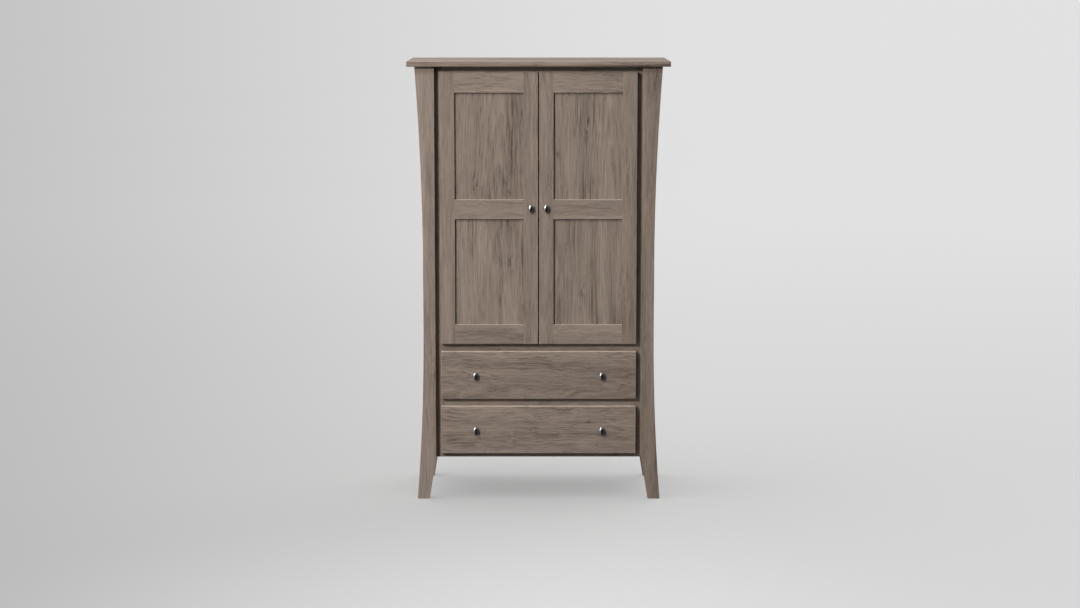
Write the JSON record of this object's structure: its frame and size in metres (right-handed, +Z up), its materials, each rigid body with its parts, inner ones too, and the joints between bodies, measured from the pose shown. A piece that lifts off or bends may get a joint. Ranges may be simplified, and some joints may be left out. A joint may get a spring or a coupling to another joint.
{
  "type": "tv armoire",
  "caption": "Tall stained hardwood media armoire on flared posts: a pair of flat-panel doors over a shelved screen bay, overlay drawers below on full-travel slides, oval bright knobs.",
  "frame": {"origin": "on the floor, under the middle of the box around the whole cabinet with its knobs", "axes": "+Z up; the doors face -Y; +X is to the right of someone facing the doors"},
  "size_m": [1.0986, 0.534, 1.8542],
  "materials": {
    "stained_hardwood": "grey-brown stain under satin lacquer, grain along each board",
    "stained_veneer": "same stain on veneered board, satin",
    "drawer_maple": "clear-lacquered pale maple",
    "polished_nickel": "polished nickel plate",
    "nickelled_steel": "satin nickel plate",
    "zinc_steel": "rolled steel, bright zinc plate"
  },
  "bodies": {
    "case": {"back_panel": "stained_veneer", "bottom_panel": "stained_veneer", "deck_panel": "stained_veneer", "frame_bottom_rail": "stained_hardwood", "frame_deck_rail": "stained_hardwood", "frame_drawer_rail": "stained_hardwood", "frame_left_stile": "stained_hardwood", "frame_right_stile": "stained_hardwood", "frame_top_rail": "stained_hardwood", "front_left_leg": "stained_hardwood", "front_right_leg": "stained_hardwood", "hinge_frame_leaves": "nickelled_steel", "hinge_frame_screws": "nickelled_steel", "hinge_pins": "nickelled_steel", "left_side_panel": "stained_veneer", "rear_left_leg": "stained_hardwood", "rear_right_leg": "stained_hardwood", "right_side_panel": "stained_veneer", "shelf_pins": "nickelled_steel", "slide_cleats": "drawer_maple", "slide_outer_members": "zinc_steel", "sub_top": "stained_veneer", "top_slab": "stained_hardwood", "tv_shelf": "stained_veneer"},
    "left_door": {"left_door_bottom_rail": "stained_hardwood", "left_door_hinge_leaves": "nickelled_steel", "left_door_hinge_screws": "nickelled_steel", "left_door_hinge_stile": "stained_hardwood", "left_door_knob": "polished_nickel", "left_door_lower_panel": "stained_hardwood", "left_door_meeting_stile": "stained_hardwood", "left_door_mid_rail": "stained_hardwood", "left_door_top_rail": "stained_hardwood", "left_door_upper_panel": "stained_hardwood"},
    "right_door": {"right_door_bottom_rail": "stained_hardwood", "right_door_hinge_leaves": "nickelled_steel", "right_door_hinge_screws": "nickelled_steel", "right_door_hinge_stile": "stained_hardwood", "right_door_knob": "polished_nickel", "right_door_lower_panel": "stained_hardwood", "right_door_meeting_stile": "stained_hardwood", "right_door_mid_rail": "stained_hardwood", "right_door_top_rail": "stained_hardwood", "right_door_upper_panel": "stained_hardwood"},
    "upper_drawer": {"upper_drawer_back": "drawer_maple", "upper_drawer_bottom": "drawer_maple", "upper_drawer_front": "stained_hardwood", "upper_drawer_knobs": "polished_nickel", "upper_drawer_left_side": "drawer_maple", "upper_drawer_right_side": "drawer_maple", "upper_drawer_slide_members": "zinc_steel"},
    "lower_drawer": {"lower_drawer_back": "drawer_maple", "lower_drawer_bottom": "drawer_maple", "lower_drawer_front": "stained_hardwood", "lower_drawer_knobs": "polished_nickel", "lower_drawer_left_side": "drawer_maple", "lower_drawer_right_side": "drawer_maple", "lower_drawer_slide_members": "zinc_steel"},
    "upper_slide_middle": {"upper_slide_middle_members": "zinc_steel"},
    "lower_slide_middle": {"lower_slide_middle_members": "zinc_steel"}
  },
  "joints": [
    {"name": "left_door_hinge", "type": "hinge", "parent": "case", "child": "left_door", "pos_m": [-0.4077, -0.236, 1.2382], "axis": [0, 0, -1], "range_deg": [0, 110]},
    {"name": "right_door_hinge", "type": "hinge", "parent": "case", "child": "right_door", "pos_m": [0.4077, -0.236, 1.2382], "axis": [0, 0, 1], "range_deg": [0, 110]},
    {"name": "upper_drawer_travel", "type": "slide", "parent": "case", "child": "upper_drawer", "axis": [0, -1, 0], "range_m": [0, 0.38]},
    {"name": "lower_drawer_travel", "type": "slide", "parent": "case", "child": "lower_drawer", "axis": [0, -1, 0], "range_m": [0, 0.38]},
    {"name": "upper_slide_travel", "type": "slide", "parent": "case", "child": "upper_slide_middle", "axis": [0, -1, 0], "range_m": [0, 0.19]},
    {"name": "lower_slide_travel", "type": "slide", "parent": "case", "child": "lower_slide_middle", "axis": [0, -1, 0], "range_m": [0, 0.19]}
  ],
  "couplings": [
    {"joint": "upper_slide_travel", "follows": "upper_drawer_travel", "ratio": 0.5},
    {"joint": "lower_slide_travel", "follows": "lower_drawer_travel", "ratio": 0.5}
  ]
}
